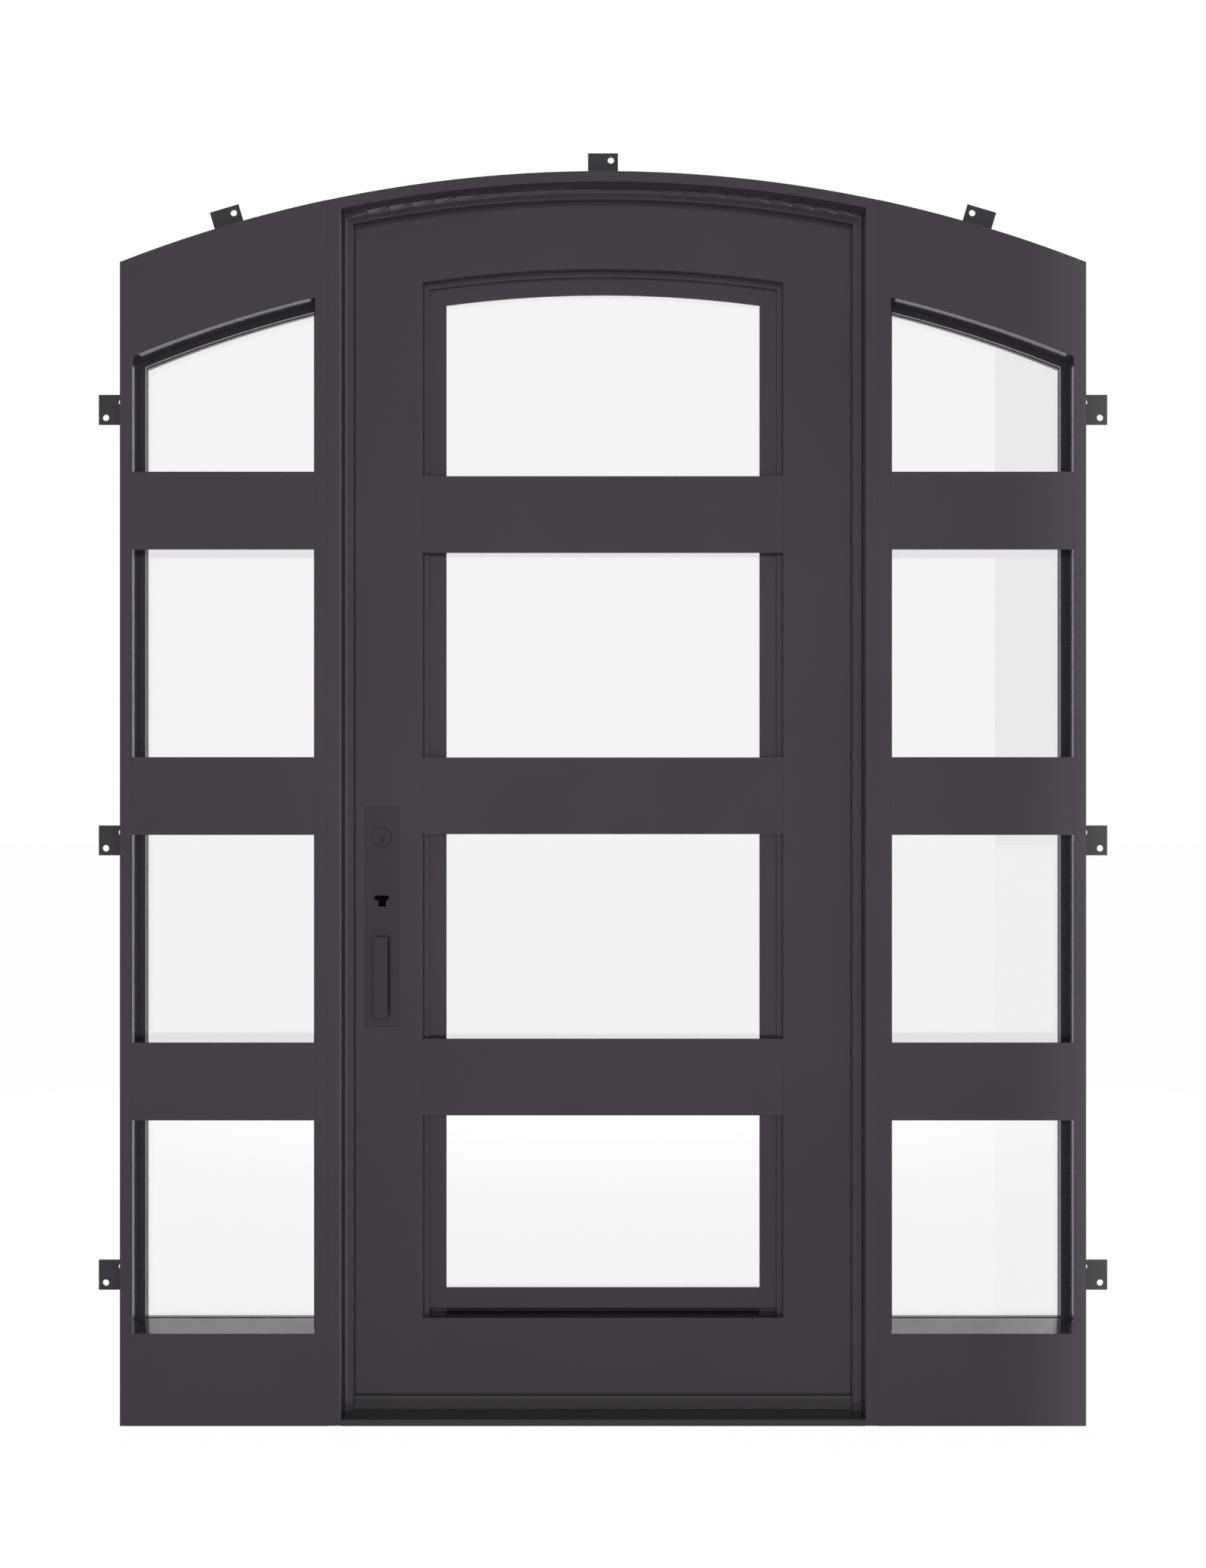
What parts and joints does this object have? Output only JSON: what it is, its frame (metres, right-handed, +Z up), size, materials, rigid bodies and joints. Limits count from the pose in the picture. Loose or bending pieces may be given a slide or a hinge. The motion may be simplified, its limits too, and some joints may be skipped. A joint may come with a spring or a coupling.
{
  "type": "arched steel entry door with sidelights",
  "caption": "Arched steel entry door with glazed sidelights, flat cross bars, a hinged glazed leaf, thumb latch, keyed lock and wall tabs.",
  "frame": {"origin": "middle of the threshold's underside, across the width and depth of the frame", "axes": "+X to the right seen from outdoors, +Y indoors, +Z up"},
  "size_m": [1.9956, 0.2066, 2.495],
  "materials": {
    "frame_paint": "satin charcoal paint",
    "leaf_paint": "satin charcoal paint",
    "glass": "clear",
    "spacer": "matte black edge seal",
    "lock_finish": "satin charcoal",
    "thumb_black": "satin black",
    "steel": "brushed"
  },
  "bodies": {
    "frame": {"arch_tabs": "frame_paint", "glass_spacers": "spacer", "glazing_beads": "frame_paint", "glazing_stops": "frame_paint", "head": "frame_paint", "head_stop": "frame_paint", "hinge_frame_plates": "frame_paint", "hinge_jamb": "frame_paint", "hinge_pins": "steel", "hinge_stop": "frame_paint", "latch_jamb": "frame_paint", "latch_stop": "frame_paint", "left_bottom_rail": "frame_paint", "left_glass": "glass", "left_inner_stile": "frame_paint", "left_outer_stile": "frame_paint", "left_top_rail": "frame_paint", "right_bottom_rail": "frame_paint", "right_glass": "glass", "right_inner_stile": "frame_paint", "right_outer_stile": "frame_paint", "right_top_rail": "frame_paint", "side_tabs": "frame_paint", "sidelight_bars": "frame_paint", "strike_plate": "steel", "threshold": "frame_paint"},
    "leaf": {"leaf_latch_stile": "leaf_paint", "leaf_hinge_stile": "leaf_paint", "leaf_top_rail": "leaf_paint", "leaf_bottom_rail": "leaf_paint", "leaf_bars": "leaf_paint", "sash_liner": "leaf_paint", "sash_stiles": "leaf_paint", "sash_top_rail": "leaf_paint", "sash_bottom_rail": "leaf_paint", "leaf_glass": "glass", "leaf_spacer": "spacer", "sash_bead": "leaf_paint", "hinge_leaf_plates": "leaf_paint", "lock_plate": "lock_finish", "lock_cylinder": "lock_finish", "pull_grip": "lock_finish", "edge_plate": "steel", "indoor_lever": "lock_finish", "thumb_turn": "lock_finish"},
    "thumb_latch": {"thumb_latch": "thumb_black"},
    "key_plug": {"key_plug": "lock_finish"}
  },
  "joints": [
    {"name": "leaf_swing", "type": "hinge", "parent": "frame", "child": "leaf", "pos_m": [0.507, 0.086, 1.19], "axis": [0, 0, -1], "range_deg": [0, 110]},
    {"name": "thumb_press", "type": "hinge", "parent": "leaf", "child": "thumb_latch", "pos_m": [-0.437, 0.0166, 1.01435], "axis": [1, 0, 0], "range_deg": [0, 16], "stiffness_Nm_per_rad": 0.3, "springref_deg": -8.59},
    {"name": "key_turn", "type": "hinge", "parent": "leaf", "child": "key_plug", "pos_m": [-0.437, 0.01, 1.1371], "axis": [0, 1, 0], "range_deg": [-90, 90]}
  ]
}
